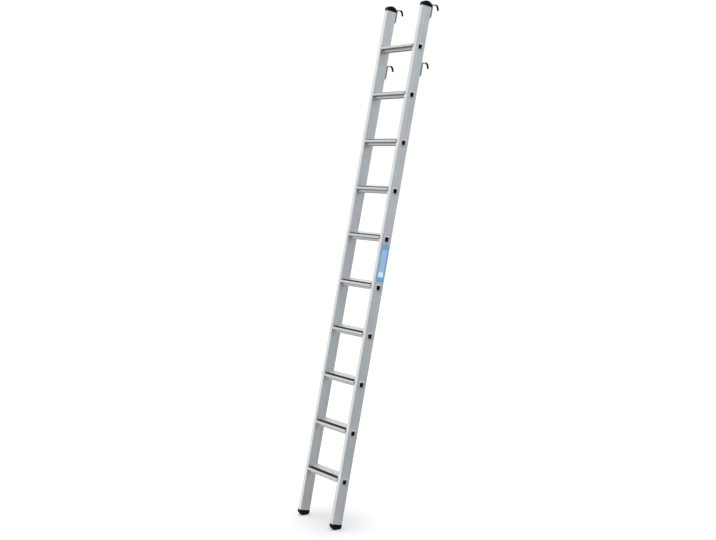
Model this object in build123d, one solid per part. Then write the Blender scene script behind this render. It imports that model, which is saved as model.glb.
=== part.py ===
from build123d import *
import math
import os

# Shelf ladder: two box-section stiles, ten hollow extruded steps, four rear hooks.
# Every piece is drawn in the ladder's own axes (X across, Y through the depth with
# the rear positive, Z up along the stiles, Z = 0 at the lowest step's chamber) and
# is then leaned back and set on the floor.

# ---------------------------------------------------------------- dimensions, mm
LEAN = 11.7            # stiles' lean from the vertical, degrees
FLOOR_DROP = 238.5     # floor below the lowest step's chamber centre, vertical

WIDTH = 350.0          # over the two stiles
STILE_T = 25.0         # stile across (X)
STILE_D = 58.0         # stile through the depth (Y)
STILE_WALL = 1.8
STILE_R = 2.0
STILE_BOTTOM = -216.2
STILE_TOP = 2462.2

N_STEPS = 10
PITCH = 250.0

TREAD_ANGLE = 19.0     # tread against the stiles' cross plane, degrees
TREAD_LEN = 69.7       # front edge to rear edge along the tread
TREAD_T = 3.0
TREAD_FRONT = (-31.5, 11.0)
LIP_MID = (-34.0, 4.6)     # front lip, outer face
LIP_END = (-31.6, -0.8)
LIP_T = 2.6
REAR_LIP = 10.0
REAR_LIP_T = 2.4
NOSE_R = 0.5           # rounding of the tread's front and rear top edges
INSIDE_R = 1.5         # rounding where the walls meet below the tread

TUBE_TOP = 12.6        # chamber below the tread, outer outline
TUBE_BOTTOM = -13.8
TUBE_HALF_TOP = 12.8
TUBE_HALF_BOTTOM = 11.4
TUBE_WALL = 1.9
TUBE_R = 4.2
FLANGE_W = 6.5         # flared end on the stile's outer face, from the chamber's outline
FLANGE_T = 1.6
FLANGE_LIP = 0.3       # height of the flare's outer edge
FLANGE_CREST = 1.6     # where the flare reaches its full height
FLANGE_IN_R = 0.9      # rounding of its edge round the opening

STRIP_FROM = 2.4       # anti-slip strip, distance from the tread's front edge
STRIP_TO = 26.8
STRIP_T = 1.7
STRIP_DEEP = 1.2
STRIP_RIBS = 8         # ribs along the strip's top
STRIP_VALLEY = 0.7     # depth of the valleys between them
STRIP_SHORT = 4.0      # the strip stops short of the stiles by this much

CAP_OVER = 2.0         # end cap beyond the stile's faces
CAP_RIM = 6.0
CAP_DOME = 20.8
CAP_CORNER_R = 4.0
PLUG_DEEP = 24.0
PLUG_WALL = 2.4
PLUG_GAP = 0.1

FOOT_OVER = 1.0
FOOT_CORNER_R = 3.0

HOOK_AT = (2177.2, 2480.3)   # height of the lower and the upper pair
HOOK_BEND_AT = (54.6, 1.3)   # where the bend begins: depth, height above HOOK_AT
HOOK_TILT = 15.6             # arm against the stiles' cross plane, degrees
HOOK_ROD_R = 3.5
HOOK_BEND = 15.5             # bend's radius on the rod's axis
HOOK_TURN = 85.6             # bend's angle, degrees
HOOK_TIP = 11.6              # straight end after the bend
SLEEVE_R = 5.2               # black sleeve over the hook's end
SLEEVE_FROM = 22.0           # angle into the bend where the sleeve begins
PAD_W = 25.0
PAD_T = 8.2
PAD_LEN = 78.0
PAD_BEVEL = 11.5             # sloped lower end of the pad

LABEL_W = 46.0
LABEL_LEN = 195.0
LABEL_T = 0.3
LABEL_AT = 4.5 * PITCH + 3.5
LABEL_V = 0.5

# ---------------------------------------------------------------- helpers
HALF = WIDTH / 2.0
INNER = HALF - STILE_T
STILE_X = HALF - STILE_T / 2.0
SIN = math.sin(math.radians(LEAN))
COS = math.cos(math.radians(LEAN))
TS = math.sin(math.radians(TREAD_ANGLE))
TC = math.cos(math.radians(TREAD_ANGLE))


def floor_w(v):
    """Height along the stile of the floor plane at depth v."""
    return (-FLOOR_DROP + SIN * v) / COS


def poly(*pts):
    return make_face(Polyline(*pts, close=True))


def across(sk, x0, x1):
    """Prism of a depth/height outline from x0 to x1 across the ladder."""
    return Pos(x0, 0, 0) * extrude(Plane.YZ * sk, amount=x1 - x0)


def on_tread(s, n):
    """Point on the tread: s from the front edge, n above the top face."""
    return (TREAD_FRONT[0] + TC * s - TS * n, TREAD_FRONT[1] + TS * s + TC * n)


def tread_under(v):
    return TREAD_FRONT[1] + (v - TREAD_FRONT[0]) * TS / TC - TREAD_T / TC


pieces = {}

# ---------------------------------------------------------------- chamber outlines
tube_outer = fillet(
    poly((-TUBE_HALF_TOP, TUBE_TOP), (-TUBE_HALF_BOTTOM, TUBE_BOTTOM),
         (TUBE_HALF_BOTTOM, TUBE_BOTTOM), (TUBE_HALF_TOP, TUBE_TOP)).vertices(), TUBE_R)
_ht = TUBE_HALF_TOP - TUBE_WALL
_hb = TUBE_HALF_BOTTOM - TUBE_WALL
tube_inner = fillet(
    poly((-_ht, TUBE_TOP - TUBE_WALL), (-_hb, TUBE_BOTTOM + TUBE_WALL),
         (_hb, TUBE_BOTTOM + TUBE_WALL), (_ht, TUBE_TOP - TUBE_WALL)).vertices(),
    TUBE_R - TUBE_WALL)


def grown(by):
    """The chamber's outline, larger by the given width all round."""
    t, b = TUBE_HALF_TOP + by, TUBE_HALF_BOTTOM + by
    return fillet(poly((-t, TUBE_TOP + by), (-b, TUBE_BOTTOM - by),
                       (b, TUBE_BOTTOM - by), (t, TUBE_TOP + by)).vertices(), TUBE_R + by)


# ---------------------------------------------------------------- stiles
_outer = RectangleRounded(STILE_T, STILE_D, STILE_R)
_inner = RectangleRounded(STILE_T - 2 * STILE_WALL, STILE_D - 2 * STILE_WALL, 0.8)
stile = Pos(0, 0, STILE_BOTTOM) * extrude(_outer - _inner, amount=STILE_TOP - STILE_BOTTOM)
for i in range(N_STEPS):
    stile -= Pos(0, 0, PITCH * i) * across(tube_outer, -STILE_T, STILE_T)
pieces["stile_left"] = Pos(-STILE_X, 0, 0) * stile
pieces["stile_right"] = Pos(STILE_X, 0, 0) * stile

# ---------------------------------------------------------------- steps
tread = poly(on_tread(0, 0), on_tread(TREAD_LEN, 0),
             on_tread(TREAD_LEN, -TREAD_T), on_tread(0, -TREAD_T))
rear = poly(on_tread(TREAD_LEN, 0), on_tread(TREAD_LEN, -REAR_LIP),
            on_tread(TREAD_LEN - REAR_LIP_T, -REAR_LIP), on_tread(TREAD_LEN - REAR_LIP_T, 0))
# front lip: a shallow outward bow from the tread's front edge down to its free edge
lip_out = ThreePointArc(TREAD_FRONT, LIP_MID, LIP_END)
_in_top = (TREAD_FRONT[0] + LIP_T, TREAD_FRONT[1] - 0.2)
_in_mid = (LIP_MID[0] + LIP_T, LIP_MID[1])
_in_end = (LIP_END[0] + LIP_T, LIP_END[1] + 0.4)
lip_in = ThreePointArc(_in_end, _in_mid, _in_top)
lip = make_face([lip_out, Line(LIP_END, _in_end), lip_in, Line(_in_top, TREAD_FRONT)])
# chamber walls carried up to the tread, with a web closing the chamber's top
legs = poly((-TUBE_HALF_TOP, 0.0), (TUBE_HALF_TOP, 0.0),
            (TUBE_HALF_TOP, tread_under(TUBE_HALF_TOP) + 1.0),
            (-TUBE_HALF_TOP, tread_under(-TUBE_HALF_TOP) + 1.0))
legs -= poly((-TUBE_HALF_TOP - 1, -1), (TUBE_HALF_TOP + 1, -1),
             (TUBE_HALF_TOP + 1, TUBE_TOP - TUBE_R), (-TUBE_HALF_TOP - 1, TUBE_TOP - TUBE_R))
_cv0, _cv1 = -6.5, TUBE_HALF_TOP - TUBE_WALL
upper_void = poly((_cv0, TUBE_TOP), (_cv1, TUBE_TOP), (_cv1, tread_under(_cv1)), (_cv0, tread_under(_cv0)))
profile = tread + rear + lip + legs + tube_outer


def round_off(sk, r, *spots):
    """Rounds the outline's corners nearest the given points."""
    for v, w in spots:
        sk = fillet(min(sk.vertices(), key=lambda p: (p.X - v) ** 2 + (p.Y - w) ** 2), r)
    return sk


profile = round_off(profile, NOSE_R, TREAD_FRONT, on_tread(TREAD_LEN, 0))
profile = round_off(profile, 1.0, LIP_END)
profile = round_off(profile, 0.8, _in_end)
profile = round_off(profile, 0.9, on_tread(TREAD_LEN, -REAR_LIP), on_tread(TREAD_LEN - REAR_LIP_T, -REAR_LIP))
profile = round_off(profile, INSIDE_R, on_tread(TREAD_LEN - REAR_LIP_T, -TREAD_T),
                    (-TUBE_HALF_TOP, tread_under(-TUBE_HALF_TOP)), (TUBE_HALF_TOP, tread_under(TUBE_HALF_TOP)))
profile -= upper_void
profile -= tube_inner
strip_bed = poly(on_tread(STRIP_FROM, 1.0), on_tread(STRIP_TO, 1.0),
                 on_tread(STRIP_TO, -STRIP_DEEP), on_tread(STRIP_FROM, -STRIP_DEEP))
profile -= strip_bed
body = across(profile, -INNER, INNER)
ring = tube_outer - tube_inner
# flare: a low sloping collar round the opening on the stile's outer face
flare = across(grown(FLANGE_W), HALF, HALF + FLANGE_LIP)
flare += loft([Pos(HALF + FLANGE_LIP, 0, 0) * (Plane.YZ * grown(FLANGE_W)),
               Pos(HALF + FLANGE_T, 0, 0) * (Plane.YZ * grown(FLANGE_CREST))], ruled=True)
flare -= across(tube_inner, HALF - 1.0, HALF + FLANGE_T + 1.0)
_edge = flare.faces().sort_by(Axis.X)[-1].inner_wires()[0].edges()
flare = fillet(_edge, FLANGE_IN_R)
step = body
step += across(ring, INNER, HALF + FLANGE_LIP)
step += flare
step += across(ring, -HALF - FLANGE_LIP, -INNER)
step += mirror(flare, about=Plane.YZ)

# anti-slip strip: flat below, ribbed along its length on top
_pitch = (STRIP_TO - STRIP_FROM) / STRIP_RIBS
_top = STRIP_T - STRIP_DEEP
_rib = [on_tread(STRIP_FROM, -STRIP_DEEP), on_tread(STRIP_FROM, _top - STRIP_VALLEY)]
for k in range(STRIP_RIBS):
    s0 = STRIP_FROM + k * _pitch
    _rib += [on_tread(s0 + 0.25 * _pitch, _top), on_tread(s0 + 0.65 * _pitch, _top),
             on_tread(s0 + 0.90 * _pitch, _top - STRIP_VALLEY)]
    if k < STRIP_RIBS - 1:
        _rib += [on_tread(s0 + _pitch, _top - STRIP_VALLEY)]
_rib += [on_tread(STRIP_TO, _top - STRIP_VALLEY), on_tread(STRIP_TO, -STRIP_DEEP)]
strip = across(poly(*_rib), -INNER + STRIP_SHORT, INNER - STRIP_SHORT)

for i in range(N_STEPS):
    pieces["step_%02d" % (i + 1)] = Pos(0, 0, PITCH * i) * step
    pieces["tread_strip_%02d" % (i + 1)] = Pos(0, 0, PITCH * i) * strip

# ---------------------------------------------------------------- plugs in the stiles' ends
_pw = STILE_T - 2 * STILE_WALL - 2 * PLUG_GAP
_pd = STILE_D - 2 * STILE_WALL - 2 * PLUG_GAP
plug_sk = RectangleRounded(_pw, _pd, 0.8)
plug_hole = RectangleRounded(_pw - 2 * PLUG_WALL, _pd - 2 * PLUG_WALL, 0.6)

# ---------------------------------------------------------------- hooks
# Pad on the stile's rear face; a round rod leaves the top of the pad, runs back and
# slightly up, and bends down into the tip. A black sleeve covers the rod's end.
HS = math.sin(math.radians(HOOK_TILT))
HC = math.cos(math.radians(HOOK_TILT))
_y0 = STILE_D / 2
_y1 = _y0 + PAD_T


def rod_point(w0, turn, off=0.0):
    """Point on the bend's axis after a turn in degrees, moved by off along the rod."""
    a = math.radians(HOOK_TILT - turn)
    c = (HOOK_BEND_AT[0] + HOOK_BEND * HS, w0 + HOOK_BEND_AT[1] - HOOK_BEND * HC)
    return (0.0, c[0] - HOOK_BEND * math.sin(a) + off * math.cos(a),
            c[1] + HOOK_BEND * math.cos(a) + off * math.sin(a))


def rod_along(w0, r, start, lead):
    """Rod of radius r from a turn angle (and a straight lead before it) to the hook's end."""
    mid = (start + HOOK_TURN) / 2.0
    p0, p1, p2 = rod_point(w0, start), rod_point(w0, mid), rod_point(w0, HOOK_TURN)
    p3 = rod_point(w0, HOOK_TURN, HOOK_TIP)
    a = math.radians(HOOK_TILT - start)
    legs = [ThreePointArc(p0, p1, p2), Line(p2, p3)]
    first = p0
    if lead:
        first = rod_point(w0, start, -lead)
        legs = [Line(first, p0)] + legs
    return sweep(Plane(origin=first, z_dir=(0, math.cos(a), math.sin(a))) * Circle(r), path=Wire(legs))


def make_hook(w0):
    def top(v):
        return w0 + HOOK_BEND_AT[1] + (v - HOOK_BEND_AT[0]) * HS / HC + HOOK_ROD_R / HC

    low = top(_y1) - PAD_LEN
    pad = across(poly((_y0, low), (_y1, low + PAD_BEVEL), (_y1, top(_y1)), (_y0, top(_y0))),
                 -PAD_W / 2, PAD_W / 2)
    outer = pad.edges().filter_by(lambda e: abs(e.center().Y - _y1) < 0.01)
    pad = fillet(outer, 1.2)
    rod = rod_along(w0, HOOK_ROD_R, 0.0, (HOOK_BEND_AT[0] - _y1) / HC + 6.0)
    rod -= Pos(0, _y1 - 50, w0) * Box(40, 100, 100)
    cover = rod_along(w0, SLEEVE_R, SLEEVE_FROM, 0.0)
    cover += Pos(*rod_point(w0, HOOK_TURN, HOOK_TIP)) * Sphere(SLEEVE_R)
    cover -= rod
    rim = cover.edges().filter_by(GeomType.CIRCLE).filter_by(lambda e: abs(e.radius - SLEEVE_R) < 0.01).sort_by(
        lambda e: (e.arc_center - Vector(*rod_point(w0, SLEEVE_FROM))).length)[0]
    cover = fillet(rim, 0.7)
    return pad, rod, cover


hook_pads = {}
for name, w0 in (("lower", HOOK_AT[0]), ("upper", HOOK_AT[1])):
    pad, rod, cover = make_hook(w0)
    hook_pads[name] = pad
    for side, x in (("left", -STILE_X), ("right", STILE_X)):
        pieces["hook_pad_%s_%s" % (name, side)] = Pos(x, 0, 0) * pad
        pieces["hook_rod_%s_%s" % (name, side)] = Pos(x, 0, 0) * rod
        pieces["hook_sleeve_%s_%s" % (name, side)] = Pos(x, 0, 0) * cover

# ---------------------------------------------------------------- top caps
# Domed front to rear over the stile's end, with a notch in the rear rim for the hook's pad.
_va = STILE_D / 2 + CAP_OVER
_z0 = STILE_TOP + CAP_RIM
dome_sk = make_face([
    Line((-_va, STILE_TOP), (_va, STILE_TOP)),
    Line((_va, STILE_TOP), (_va, _z0)),
    EllipticalCenterArc((0, _z0), _va, CAP_DOME, start_angle=0, arc_size=180),
    Line((-_va, _z0), (-_va, STILE_TOP)),
])
_cw = STILE_T + 2 * CAP_OVER
cap = across(dome_sk, -_cw / 2, _cw / 2)
# the rounding runs up the four corners and on along the dome's sides
cap = fillet(cap.edges().filter_by(Axis.Z), CAP_CORNER_R)
cap -= Pos(0, _y0 + 10, STILE_TOP) * Box(PAD_W, 20, 120)
cap += Pos(0, 0, STILE_TOP - PLUG_DEEP) * extrude(plug_sk, amount=PLUG_DEEP)
cap -= Pos(0, 0, STILE_TOP - PLUG_DEEP - 1) * extrude(plug_hole, amount=PLUG_DEEP + 1)
pieces["top_cap_left"] = Pos(-STILE_X, 0, 0) * cap
pieces["top_cap_right"] = Pos(STILE_X, 0, 0) * cap

# ---------------------------------------------------------------- feet
# The sole is flat on the floor; its front is cut back and its heel is rounded.
_f = STILE_D / 2 + FOOT_OVER
foot_sk = poly((-_f, STILE_BOTTOM), (-_f, -230.3), (-11.0, floor_w(-11.0)),
               (25.5, floor_w(25.5)), (_f, -231.0), (_f, STILE_BOTTOM))
foot_sk = round_off(foot_sk, 3.5, (-_f, -230.3), (_f, -231.0))
foot_sk = round_off(foot_sk, 4.0, (25.5, floor_w(25.5)))
foot_sk = round_off(foot_sk, 8.0, (-11.0, floor_w(-11.0)))
_fw = STILE_T + 2 * FOOT_OVER
foot = across(foot_sk, -_fw / 2, _fw / 2)
# the rounding runs down the four corners and on round the sole
foot = fillet(foot.edges().filter_by(Axis.Z), FOOT_CORNER_R)
foot += Pos(0, 0, STILE_BOTTOM) * extrude(plug_sk, amount=PLUG_DEEP)
foot -= Pos(0, 0, STILE_BOTTOM) * extrude(plug_hole, amount=PLUG_DEEP + 1)
pieces["foot_left"] = Pos(-STILE_X, 0, 0) * foot
pieces["foot_right"] = Pos(STILE_X, 0, 0) * foot

# ---------------------------------------------------------------- label
label = across(Pos(LABEL_V, LABEL_AT) * RectangleRounded(LABEL_W, LABEL_LEN, 3.0), HALF, HALF + LABEL_T)
pieces["side_label"] = label

# ---------------------------------------------------------------- lean, floor, origin
leaned = {n: Pos(0, 0, FLOOR_DROP) * (Rot(X=-LEAN) * s) for n, s in pieces.items()}
boxes = [s.bounding_box() for s in leaned.values()]
y_mid = (min(b.min.Y for b in boxes) + max(b.max.Y for b in boxes)) / 2.0
os.makedirs("parts", exist_ok=True)
total = [9e9] * 3 + [-9e9] * 3
for n, s in leaned.items():
    s = Pos(0, -y_mid, 0) * s
    export_step(s, "parts/%s.step" % n)
    b = s.bounding_box()
    total = [min(total[0], b.min.X), min(total[1], b.min.Y), min(total[2], b.min.Z),
             max(total[3], b.max.X), max(total[4], b.max.Y), max(total[5], b.max.Z)]
    print("%-24s solids %d  volume %10.1f mm3" % (n, len(s.solids()), s.volume))
print("depth shift %.4f" % -y_mid)
print("box", ["%.2f" % t for t in total])
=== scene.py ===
import math

import bmesh
import bpy
from mathutils import Matrix, Vector

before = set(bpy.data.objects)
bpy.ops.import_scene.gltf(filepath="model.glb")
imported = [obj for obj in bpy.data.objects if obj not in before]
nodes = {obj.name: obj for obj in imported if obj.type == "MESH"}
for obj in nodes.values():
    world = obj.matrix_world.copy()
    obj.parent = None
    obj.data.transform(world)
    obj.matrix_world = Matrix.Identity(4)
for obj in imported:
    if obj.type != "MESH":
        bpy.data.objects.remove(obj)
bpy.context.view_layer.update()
scene = bpy.context.scene

LEAN = math.radians(11.7)      # the stiles' lean
Y0, Z0 = -0.2520770, 0.2385    # lowest step's chamber centre in the row frame

# light levels of the studio, to the front left, front right, rear right and rear left:
# of the surroundings by height above the horizon, and of the floor by distance from the ladder
HEIGHTS = (0.0, 0.12, 0.26, 0.45, 0.70, 0.95)
SKY = ((1.08, 1.13, 1.04, 0.95, 0.95, 0.99),
       (0.80, 0.84, 0.88, 0.90, 0.94, 0.99),
       (0.69, 0.75, 0.82, 0.88, 0.94, 0.99),
       (1.45, 1.20, 0.95, 0.91, 0.94, 0.99))
RINGS = (0.25, 0.7, 1.4, 2.8, 6.0)
GROUND = ((0.84, 1.04, 1.14, 1.02, 0.86),
          (0.67, 0.71, 0.72, 0.69, 0.63),
          (0.33, 0.31, 0.32, 0.35, 0.38),
          (0.54, 0.55, 0.42, 0.18, 0.05))
SOFTBOX = 56.0
LEVEL = 1.4
FLOOR_WHITE = 0.557
UNDER = (-0.18, 0.26, 0.19, 0.42)    # shade between the feet: its middle in depth, reach across and in depth, level
# painted soft shadow round the feet: the floor's glow is lowest inside this ellipse
SHADOW = (-0.247, 0.52, 0.152, 1.00, 0.10, 0.150)    # middle and reach across, middle and reach in depth, core, level


# ------------------------------------------------------------------ node helpers
class Tree:
    """A material's node tree, with short calls for the nodes used below."""

    def __init__(self, name):
        self.mat = bpy.data.materials.new(name)
        self.mat.use_nodes = True
        self.nt = self.mat.node_tree
        self.nt.nodes.clear()
        self.out = self.nt.nodes.new("ShaderNodeOutputMaterial")
        self.bsdf = self.nt.nodes.new("ShaderNodeBsdfPrincipled")
        self.nt.links.new(self.bsdf.outputs["BSDF"], self.out.inputs["Surface"])

    def node(self, kind, **props):
        n = self.nt.nodes.new(kind)
        for k, v in props.items():
            setattr(n, k, v)
        return n

    def link(self, a, b):
        self.nt.links.new(a, b)

    def set(self, **values):
        for k, v in values.items():
            self.bsdf.inputs[k.replace("_", " ")].default_value = v

    def ladder(self, scale=(1, 1, 1)):
        """Coordinates along the ladder's own axes, in metres: across, depth, up the stile."""
        tc = self.node("ShaderNodeTexCoord")
        sub = self.node("ShaderNodeVectorMath", operation="SUBTRACT")
        sub.inputs[1].default_value = (0.0, Y0, Z0)
        self.link(tc.outputs["Object"], sub.inputs[0])
        rot = self.node("ShaderNodeMapping", vector_type="POINT")
        rot.inputs["Rotation"].default_value = (LEAN, 0.0, 0.0)
        self.link(sub.outputs[0], rot.inputs["Vector"])
        if tuple(scale) == (1, 1, 1):
            return rot.outputs["Vector"]
        sc = self.node("ShaderNodeVectorMath", operation="MULTIPLY")
        sc.inputs[1].default_value = scale
        self.link(rot.outputs["Vector"], sc.inputs[0])
        return sc.outputs[0]

    def noise(self, vector, scale, detail=2.0, rough=0.5):
        n = self.node("ShaderNodeTexNoise", noise_dimensions="3D")
        n.inputs["Scale"].default_value = scale
        n.inputs["Detail"].default_value = detail
        n.inputs["Roughness"].default_value = rough
        self.link(vector, n.inputs["Vector"])
        return n.outputs["Fac"]

    def remap(self, value, a, b, c, d):
        n = self.node("ShaderNodeMapRange", clamp=True)
        n.inputs["From Min"].default_value = a
        n.inputs["From Max"].default_value = b
        n.inputs["To Min"].default_value = c
        n.inputs["To Max"].default_value = d
        self.link(value, n.inputs["Value"])
        return n.outputs["Result"]

    def math(self, op, a, b=None, c=None):
        n = self.node("ShaderNodeMath", operation=op)
        for i, x in enumerate((a, b, c)):
            if x is None:
                continue
            if isinstance(x, (int, float)):
                n.inputs[i].default_value = x
            else:
                self.link(x, n.inputs[i])
        return n.outputs[0]

    def split(self, vector):
        n = self.node("ShaderNodeSeparateXYZ")
        self.link(vector, n.inputs[0])
        return n.outputs

    def mix(self, fac, a, b):
        n = self.node("ShaderNodeMix", data_type="RGBA")
        for key, x in ((0, fac), (6, a), (7, b)):
            if isinstance(x, (int, float)):
                n.inputs[key].default_value = x
            elif isinstance(x, (tuple, list)):
                n.inputs[key].default_value = (*x, 1.0)
            else:
                self.link(x, n.inputs[key])
        return n.outputs[2]

    def edges(self, radius):
        """Rounded normals at sharp edges, and a mask that is 1 along those edges."""
        bev = self.node("ShaderNodeBevel", samples=6)
        bev.inputs["Radius"].default_value = radius
        geo = self.node("ShaderNodeNewGeometry")
        dot = self.node("ShaderNodeVectorMath", operation="DOT_PRODUCT")
        self.link(bev.outputs["Normal"], dot.inputs[0])
        self.link(geo.outputs["Normal"], dot.inputs[1])
        self.soft = bev.outputs["Normal"]
        return self.remap(dot.outputs["Value"], 0.80, 0.99, 1.0, 0.0)

    def bump(self, height, strength, distance):
        n = self.node("ShaderNodeBump")
        n.inputs["Strength"].default_value = strength
        n.inputs["Distance"].default_value = distance
        self.link(height, n.inputs["Height"])
        if getattr(self, "soft", None) is not None:
            self.link(self.soft, n.inputs["Normal"])
        self.link(n.outputs["Normal"], self.bsdf.inputs["Normal"])


# ------------------------------------------------------------------ materials
NOOK_SHADE = (-0.0052, -0.0008, 0.67, 0.80, 0.75)    # painted shade: fades in between two heights; how much above, below, by the strip
COLLAR = (0.53, 0.532, 0.536)


def aluminium(name, along, light, dark, rough, metal=1.0, step=False):
    """Extruded aluminium: fine die lines along the piece, broad streaks, a faint cloudy
    tone, a few short handling scratches and edges rubbed bright. The steps also have painted
    shade, a dull dark grey under the front lip, below the chamber and along the strip, pale
    collars on the stiles' outer faces, and the chambers painted near-black inside as shade."""
    t = Tree(name)
    x = along == "x"
    lines = t.noise(t.ladder((3.0, 900.0, 900.0) if x else (900.0, 900.0, 2.5)), 1.0, 3.0, 0.6)
    bands = t.noise(t.ladder((1.5, 150.0, 150.0) if x else (90.0, 90.0, 0.9)), 1.0, 2.0, 0.5)
    cloud = t.noise(t.ladder(), 9.0, 3.0, 0.55)
    tone = t.math("ADD", t.math("MULTIPLY", lines, 0.30),
                  t.math("ADD", t.math("MULTIPLY", bands, 0.40), t.math("MULTIPLY", cloud, 0.30)))
    scratch = t.noise(t.ladder((60.0, 700.0, 520.0) if x else (420.0, 60.0, 700.0)), 1.0, 2.0, 0.4)
    patch = t.noise(t.ladder(), 23.0, 2.0, 0.5)
    marks = t.math("MULTIPLY", t.remap(scratch, 0.70, 0.76, 0.0, 1.0), t.remap(patch, 0.52, 0.66, 0.0, 1.0))
    worn = t.math("MULTIPLY", t.edges(0.0004), t.remap(t.noise(t.ladder(), 70.0, 3.0, 0.6), 0.35, 0.65, 0.25, 0.9))
    body = t.mix(t.remap(tone, 0.30, 0.70, 0.0, 1.0), dark, light)
    body = t.mix(t.math("MULTIPLY", marks, 0.30), body, (0.66, 0.66, 0.665))
    body = t.mix(t.math("MULTIPLY", worn, 0.5), body, (0.66, 0.665, 0.67))
    t.set(Metallic=metal)
    if step:
        t.bsdf.inputs["Specular IOR Level"].default_value = 0.22
        across, depth, height = t.split(t.ladder())
        local = t.math("SUBTRACT", height, t.math("MULTIPLY", t.math("ROUND", t.math("DIVIDE", height, 0.25)), 0.25))
        side = t.math("ABSOLUTE", across)
        between = t.remap(side, 0.1500, 0.1504, 1.0, 0.0)
        patchy = t.remap(t.noise(t.ladder((20.0, 120.0, 120.0)), 1.0, 3.0, 0.6), 0.35, 0.65, 0.85, 1.0)
        # painted shade under the tread, from the front lip back to the chamber, and down the chamber's front
        lift = t.math("SUBTRACT", local, t.math("MULTIPLY", depth, 0.3443))
        nook_shade = t.math("MULTIPLY", t.remap(lift, 0.0192, 0.0198, 1.0, 0.0), t.remap(local, NOOK_SHADE[0], NOOK_SHADE[1], 0.0, 1.0))
        nook_shade = t.math("MULTIPLY", nook_shade, t.math("MULTIPLY", t.remap(depth, -0.0300, -0.0296, 0.0, 1.0),
                                               t.remap(depth, -0.0115, -0.0112, 1.0, 0.0)))
        # painted shade on the chamber's underside
        below = t.remap(local, -0.0134, -0.0128, 1.0, 0.0)
        # painted shade on the tread, a dark line along the strip's front edge
        brim_shade = t.math("MULTIPLY", t.remap(lift, 0.0208, 0.0212, 0.0, 1.0),
                      t.math("MULTIPLY", t.remap(depth, -0.0316, -0.0304, 0.0, 1.0), t.remap(depth, -0.0286, -0.0282, 1.0, 0.0)))
        # dull and the dark grey below: the painted shade under the lip, below the chamber and along the strip, in
        # random patches
        dull = t.math("MAXIMUM", t.math("MULTIPLY", nook_shade, NOOK_SHADE[2]), t.math("MULTIPLY", below, NOOK_SHADE[3]))
        dull = t.math("MAXIMUM", dull, t.math("MULTIPLY", brim_shade, NOOK_SHADE[4]))
        body = t.mix(t.math("MULTIPLY", t.math("MULTIPLY", dull, patchy), between), body, (0.14, 0.14, 0.144))
        collar = t.remap(side, 0.1748, 0.1752, 0.0, 1.0)
        body = t.mix(t.math("MULTIPLY", collar, 0.8), body, COLLAR)
        t.link(t.remap(side, 0.1748, 0.1752, metal, 0.85), t.bsdf.inputs["Metallic"])
        # painted shade: the chambers' insides near-black, as the shade deep in the hollow tubes
        reach = t.math("SUBTRACT", t.math("ABSOLUTE", depth), t.math("MULTIPLY", local, 0.0619))
        inside = t.math("MULTIPLY", t.remap(reach, 0.0108, 0.0112, 1.0, 0.0),
                        t.math("MULTIPLY", t.remap(local, -0.0126, -0.0122, 0.0, 1.0), t.remap(local, 0.0110, 0.0114, 1.0, 0.0)))
        inside = t.math("MULTIPLY", inside, t.remap(side, 0.1738, 0.1766, 1.0, 0.0))
        body = t.mix(inside, body, (0.060, 0.060, 0.061))
    t.link(body, t.bsdf.inputs["Base Color"])
    r = t.math("ADD", t.remap(tone, 0.30, 0.70, rough + 0.06, rough - 0.06), t.remap(patch, 0.3, 0.7, 0.03, -0.03))
    t.link(t.math("SUBTRACT", r, t.math("MULTIPLY", worn, 0.10)), t.bsdf.inputs["Roughness"])
    t.bump(t.math("ADD", lines, t.math("MULTIPLY", marks, -0.5)), 0.12, 0.0002)
    return t.mat


def plastic(name, colour, pale, rough, grain, gloss):
    """Moulded black plastic or rubber: a fine grain, a slightly dusty tone and paler edges."""
    t = Tree(name)
    g = t.noise(t.ladder(), grain, 2.0, 0.6)
    c = t.noise(t.ladder(), 60.0, 3.0, 0.6)
    worn = t.math("MULTIPLY", t.edges(0.0008), t.remap(t.noise(t.ladder(), 160.0, 3.0, 0.6), 0.40, 0.70, 0.0, 1.0))
    body = t.mix(t.remap(c, 0.35, 0.7, 0.0, 1.0), colour, pale)
    t.link(t.mix(t.math("MULTIPLY", worn, 0.6), body, tuple(3.0 * v for v in pale)), t.bsdf.inputs["Base Color"])
    t.link(t.remap(g, 0.3, 0.7, rough - 0.05, rough + 0.08), t.bsdf.inputs["Roughness"])
    t.bsdf.inputs["Specular IOR Level"].default_value = gloss
    t.bump(g, 0.25, 0.0002)
    return t.mat


def grip_strip(name):
    """Dark anti-slip rubber: gritty, with grey dust in patches."""
    t = Tree(name)
    g = t.noise(t.ladder(), 1800.0, 2.0, 0.6)
    c = t.noise(t.ladder((6.0, 60.0, 60.0)), 1.0, 3.0, 0.6)
    dust = t.remap(t.noise(t.ladder(), 420.0, 3.0, 0.7), 0.58, 0.75, 0.0, 0.6)
    body = t.mix(t.remap(c, 0.35, 0.7, 0.0, 1.0), (0.026, 0.0264, 0.0268), (0.042, 0.0424, 0.0428))
    t.link(t.mix(dust, body, (0.065, 0.065, 0.065)), t.bsdf.inputs["Base Color"])
    t.link(t.remap(g, 0.3, 0.7, 0.80, 0.98), t.bsdf.inputs["Roughness"])
    t.bsdf.inputs["Specular IOR Level"].default_value = 0.02
    t.bump(g, 0.4, 0.0003)
    return t.mat


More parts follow.
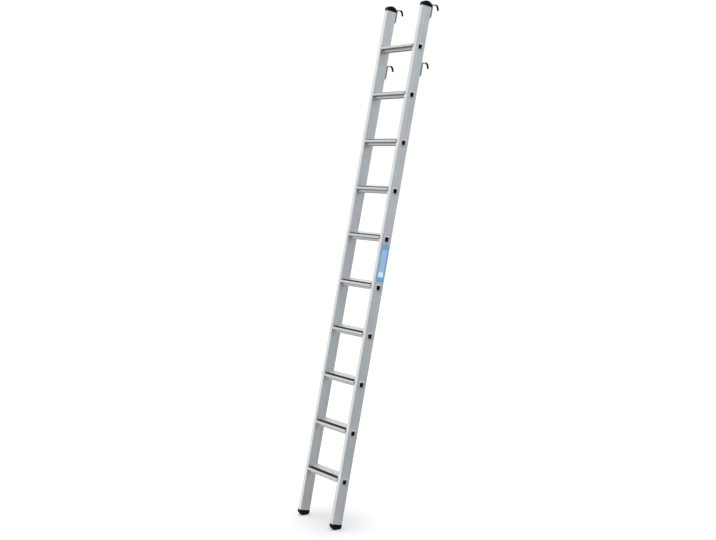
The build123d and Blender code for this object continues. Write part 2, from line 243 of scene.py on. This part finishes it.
def zinc(name, dark, light):
    """Zinc-plated steel: faint spangle, dull patches and brighter edges."""
    t = Tree(name)
    v = t.node("ShaderNodeTexVoronoi", feature="F1")
    v.inputs["Scale"].default_value = 260.0
    t.link(t.ladder(), v.inputs["Vector"])
    cell = t.split(v.outputs["Color"])[0]
    n = t.noise(t.ladder(), 120.0, 4.0, 0.6)
    tone = t.math("ADD", t.math("MULTIPLY", cell, 0.35), t.math("MULTIPLY", n, 0.65))
    worn = t.math("MULTIPLY", t.edges(0.0008), t.remap(n, 0.4, 0.6, 0.2, 0.8))
    body = t.mix(t.remap(tone, 0.2, 0.8, 0.0, 1.0), dark, light)
    t.link(t.mix(t.math("MULTIPLY", worn, 0.5), body, (0.44, 0.45, 0.46)), t.bsdf.inputs["Base Color"])
    t.link(t.remap(tone, 0.2, 0.8, 0.50, 0.36), t.bsdf.inputs["Roughness"])
    t.set(Metallic=1.0)
    t.bump(n, 0.15, 0.0002)
    return t.mat


def label_film(name):
    """Plain printed film: a mid-blue border, a paler panel and one pale block near its lower end."""
    t = Tree(name)
    x, y, z = t.split(t.ladder())

    def inside(v, a, b, soft=0.0006):
        return t.math("MULTIPLY", t.remap(v, a - soft, a + soft, 0.0, 1.0), t.remap(v, b - soft, b + soft, 1.0, 0.0))

    panel = t.math("MULTIPLY", inside(y, -0.0150, 0.0160), inside(z, 1.0540, 1.1965))
    block = t.math("MULTIPLY", inside(y, -0.0135, 0.0145), inside(z, 1.0560, 1.0810))
    n = t.noise(t.ladder(), 300.0, 2.0, 0.5)
    ink = t.remap(t.noise(t.ladder(), 90.0, 3.0, 0.55), 0.3, 0.7, 0.0, 1.0)
    border = t.mix(ink, (0.166, 0.336, 0.530), (0.187, 0.370, 0.575))
    field = t.mix(ink, (0.310, 0.495, 0.740), (0.335, 0.530, 0.785))
    c = t.mix(panel, border, field)
    t.link(t.mix(block, c, (0.68, 0.85, 0.985)), t.bsdf.inputs["Base Color"])
    t.link(t.remap(n, 0.3, 0.7, 0.30, 0.42), t.bsdf.inputs["Roughness"])
    t.bump(n, 0.06, 0.0002)
    return t.mat


m_stile = aluminium("stile_aluminium", "z", (0.640, 0.647, 0.662), (0.480, 0.487, 0.500), 0.50)
m_step = aluminium("step_aluminium", "x", (0.488, 0.488, 0.488), (0.418, 0.418, 0.418), 0.38, metal=0.25, step=True)
m_grip = grip_strip("grip_strip")
m_cap = plastic("cap_plastic", (0.0022, 0.0022, 0.0023), (0.0044, 0.0044, 0.0046), 0.45, 1500.0, 0.07)
m_foot = plastic("foot_rubber", (0.0028, 0.0028, 0.0028), (0.0056, 0.0056, 0.0056), 0.62, 1200.0, 0.07)
m_sleeve = plastic("sleeve_plastic", (0.0022, 0.0022, 0.0023), (0.0044, 0.0044, 0.0046), 0.50, 1700.0, 0.06)
m_pad = zinc("pad_zinc", (0.193, 0.197, 0.204), (0.264, 0.268, 0.275))
m_rod = zinc("rod_zinc", (0.257, 0.264, 0.272), (0.357, 0.364, 0.372))
m_label = label_film("label_film")

FINISH = {"stile": m_stile, "step": m_step, "tread_strip": m_grip, "top_cap": m_cap, "foot": m_foot,
          "hook_pad": m_pad, "hook_rod": m_rod, "hook_sleeve": m_sleeve, "side_label": m_label}
for name, o in nodes.items():
    key = next(k for k in FINISH if name.startswith(k))
    o.data.materials.clear()
    o.data.materials.append(FINISH[key])
    o.data.shade_smooth()
    o.data.set_sharp_from_angle(angle=math.radians(32.0))


# ------------------------------------------------------------------ light by direction
def add_node(nt, kind, **props):
    n = nt.nodes.new(kind)
    for k, v in props.items():
        setattr(n, k, v)
    return n


def ramp(nt, value, a, b):
    n = add_node(nt, "ShaderNodeMapRange", interpolation_type="SMOOTHSTEP", clamp=True)
    n.inputs["From Min"].default_value = a
    n.inputs["From Max"].default_value = b
    nt.links.new(value, n.inputs["Value"])
    return n.outputs["Result"]


def blend(nt, fac, a, b, kind="MIX"):
    n = add_node(nt, "ShaderNodeMix", data_type="RGBA", blend_type=kind)
    for key, x in ((0, fac), (6, a), (7, b)):
        if isinstance(x, (int, float, tuple)):
            n.inputs[key].default_value = x
        else:
            nt.links.new(x, n.inputs[key])
    return n.outputs[2]


def gradient(nt, value, stops, levels):
    """A quarter of the level, between the stops, as a colour."""
    n = add_node(nt, "ShaderNodeValToRGB")
    el = n.color_ramp.elements
    while len(el) < len(levels):
        el.new(0.5)
    for e, at, v in zip(el, stops, levels):
        e.position = at
        e.color = (v / 4.0, v / 4.0, v / 4.0, 1.0)
    nt.links.new(value, n.inputs["Fac"])
    return n.outputs["Color"]


def four_ways(nt, x, y, value, stops, table):
    """The gradients of the four directions, blended into each other by the angle about the ladder."""
    turn = add_node(nt, "ShaderNodeMath", operation="ARCTAN2")
    nt.links.new(y, turn.inputs[0])
    nt.links.new(x, turn.inputs[1])
    turn = turn.outputs[0]
    fl, fr, rr, rl = [gradient(nt, value, stops, levels) for levels in table]
    out = blend(nt, ramp(nt, turn, math.radians(-210), math.radians(-149)), rl, fl)
    out = blend(nt, ramp(nt, turn, math.radians(-149), math.radians(-54)), out, fr)
    out = blend(nt, ramp(nt, turn, math.radians(-54), math.radians(32)), out, rr)
    out = blend(nt, ramp(nt, turn, math.radians(34), math.radians(118)), out, rl)
    return blend(nt, ramp(nt, turn, math.radians(150), math.radians(211)), out, fl)


# ------------------------------------------------------------------ stage
def sheet(name, points, z):
    me = bpy.data.meshes.new(name)
    me.from_pydata([(x, y, z) for x, y in points], [], [tuple(range(len(points)))])
    o = bpy.data.objects.new(name, me)
    scene.collection.objects.link(o)
    return o


def disc(x, y, r, n=64):
    return [(x + r * math.cos(2 * math.pi * k / n), y + r * math.sin(2 * math.pi * k / n)) for k in range(n)]


# pale paper floor: seen by the camera, and kept out of the metal's reflections;
# it glows, white from a little way out and dimmer in an ellipse round the feet:
# there the soft shadow is painted by the lower glow, on top of the shadow the lamps cast
floor = sheet("floor", disc(0.0, 0.0, 40.0), -0.0005)
ft = Tree("floor_paper")
ft.bsdf.inputs["Base Color"].default_value = (1.0 * FLOOR_WHITE, 0.98 * FLOOR_WHITE, 0.985 * FLOOR_WHITE, 1.0)
ft.set(Roughness=0.9)
ft.bsdf.inputs["Specular IOR Level"].default_value = 0.0
ft.bsdf.inputs["Emission Color"].default_value = (1.0, 1.0, 1.0, 1.0)
spot = ft.node("ShaderNodeTexCoord").outputs["Object"]


def along_floor(x, y, middle, reach):
    """Distance from the shadow's middle along one direction on the floor, 1 at its rim."""
    n = ft.node("ShaderNodeVectorMath", operation="DOT_PRODUCT")
    n.inputs[1].default_value = (x, y, 0.0)
    ft.link(spot, n.inputs[0])
    return ft.math("DIVIDE", ft.math("SUBTRACT", n.outputs["Value"], middle), reach)


# the painted shadow's ellipse: the floor's glow rises from its core to its rim
wide = along_floor(0.345, 0.939, SHADOW[0], SHADOW[1])
deep = along_floor(0.939, -0.345, SHADOW[2], SHADOW[3])
rim = ft.math("SQRT", ft.math("ADD", ft.math("MULTIPLY", wide, wide), ft.math("MULTIPLY", deep, deep)))
ft.link(ft.remap(rim, SHADOW[4], 1.0, SHADOW[5], 0.46), ft.bsdf.inputs["Emission Strength"])
floor.data.materials.append(ft.mat)
floor.visible_glossy = False
floor.visible_diffuse = False
floor.visible_shadow = False

# the lit floor as the ladder sees it, out of the camera's sight
bounce = sheet("floor_bounce", disc(0.0, 0.0, 40.0), -0.0010)
bt = Tree("floor_bounce")
bt.bsdf.inputs["Base Color"].default_value = (0.0, 0.0, 0.0, 1.0)
bt.bsdf.inputs["Specular IOR Level"].default_value = 0.0
away = bt.node("ShaderNodeVectorMath", operation="SUBTRACT")
bt.link(bt.node("ShaderNodeTexCoord").outputs["Object"], away.inputs[0])
away.inputs[1].default_value = (0.0, -0.25, 0.0)
ax, ay, az = bt.split(away.outputs[0])
reach = bt.node("ShaderNodeVectorMath", operation="LENGTH")
bt.link(away.outputs[0], reach.inputs[0])
share = bt.math("DIVIDE", reach.outputs["Value"], RINGS[-1])
lit = four_ways(bt.nt, ax, ay, share, [r / RINGS[-1] for r in RINGS], GROUND)
cast = blend(bt.nt, ramp(bt.nt, ax, -0.6, 1.2), (0.993, 1.0, 1.010, 1.0), (0.955, 1.005, 1.030, 1.0))
# darker in the shade between the feet
shade = bt.node("ShaderNodeVectorMath", operation="MULTIPLY_ADD")
bt.link(bt.node("ShaderNodeTexCoord").outputs["Object"], shade.inputs[0])
shade.inputs[1].default_value = (1.0 / UNDER[1], 1.0 / UNDER[2], 0.0)
shade.inputs[2].default_value = (0.0, -UNDER[0] / UNDER[2], 0.0)
span = bt.node("ShaderNodeVectorMath", operation="LENGTH")
bt.link(shade.outputs[0], span.inputs[0])
dim = blend(bt.nt, ramp(bt.nt, span.outputs["Value"], 0.35, 1.25), (UNDER[3], UNDER[3], UNDER[3], 1.0), (1.0, 1.0, 1.0, 1.0))
lit = blend(bt.nt, 1.0, lit, dim, "MULTIPLY")
bt.link(blend(bt.nt, 1.0, lit, cast, "MULTIPLY"), bt.bsdf.inputs["Emission Color"])
bt.bsdf.inputs["Emission Strength"].default_value = 4.0 * LEVEL
bounce.data.materials.append(bt.mat)
bounce.visible_camera = False

# white backdrop dome, seen by the camera alone
bm = bmesh.new()
bmesh.ops.create_uvsphere(bm, u_segments=48, v_segments=24, radius=45.0)
dome_mesh = bpy.data.meshes.new("backdrop")
bm.to_mesh(dome_mesh)
bm.free()
dome = bpy.data.objects.new("backdrop", dome_mesh)
scene.collection.objects.link(dome)
dt = Tree("backdrop_white")
dt.bsdf.inputs["Base Color"].default_value = (0.0, 0.0, 0.0, 1.0)
dt.bsdf.inputs["Specular IOR Level"].default_value = 0.0
dt.bsdf.inputs["Emission Color"].default_value = (1.0, 1.0, 1.0, 1.0)
dt.bsdf.inputs["Emission Strength"].default_value = 1.03
dome.data.materials.append(dt.mat)
for flag in ("visible_glossy", "visible_diffuse", "visible_transmission", "visible_shadow"):
    setattr(dome, flag, False)

# soft surroundings: one vertical gradient for each of four directions, dark below the horizon
world = bpy.data.worlds.new("studio")
scene.world = world
world.use_nodes = True
wt = world.node_tree
wt.nodes.clear()
wo = add_node(wt, "ShaderNodeOutputWorld")
bg = add_node(wt, "ShaderNodeBackground")
wt.links.new(bg.outputs[0], wo.inputs["Surface"])
tc = add_node(wt, "ShaderNodeTexCoord")
sep = add_node(wt, "ShaderNodeSeparateXYZ")
wt.links.new(tc.outputs["Generated"], sep.inputs[0])
dx, dy, dz = sep.outputs
sky = four_ways(wt, dx, dy, dz, HEIGHTS, SKY)
sky = blend(wt, 1.0, sky, blend(wt, ramp(wt, dx, -0.2, 0.6), (0.993, 1.0, 1.010, 1.0), (0.956, 1.004, 1.032, 1.0)), "MULTIPLY")
wt.links.new(blend(wt, ramp(wt, dz, -0.010, -0.002), (0.0, 0.0, 0.0, 1.0), sky), bg.inputs["Color"])
bg.inputs["Strength"].default_value = 4.0 * LEVEL


def area(name, loc, target, size, power, colour=(1, 1, 1)):
    li = bpy.data.lights.new(name, "AREA")
    li.shape = "RECTANGLE"
    li.size, li.size_y = size
    li.energy = power
    li.color = colour
    o = bpy.data.objects.new(name, li)
    o.location = loc
    o.rotation_euler = (Vector(target) - Vector(loc)).to_track_quat("-Z", "Y").to_euler()
    scene.collection.objects.link(o)
    return o


area("softbox", (-0.3, -0.6, 5.4), (0.0, 0.0, 0.6), (3.4, 3.4), SOFTBOX)

# ------------------------------------------------------------------ camera
cam = bpy.data.cameras.new("camera")
cam.sensor_fit = "HORIZONTAL"
cam.sensor_width = 36.0
cam.lens = 1325.43 * 36.0 / 716.0
cam.clip_start, cam.clip_end = 0.1, 200.0
co = bpy.data.objects.new("camera", cam)
scene.collection.objects.link(co)
right = Vector((0.53275852, 0.84626730, -0.00012871))
up = Vector((-0.07615322, 0.04809293, 0.99593562))
back = Vector((0.84283394, -0.53058338, 0.09006790))
rot = Matrix((right, up, back)).transposed().to_4x4()
co.matrix_world = Matrix.Translation((5.791308, -3.7063825, 1.915904)) @ rot
scene.camera = co

scene.view_settings.view_transform = "Standard"
scene.view_settings.look = "None"
scene.view_settings.exposure = 0.0
scene.view_settings.gamma = 1.0
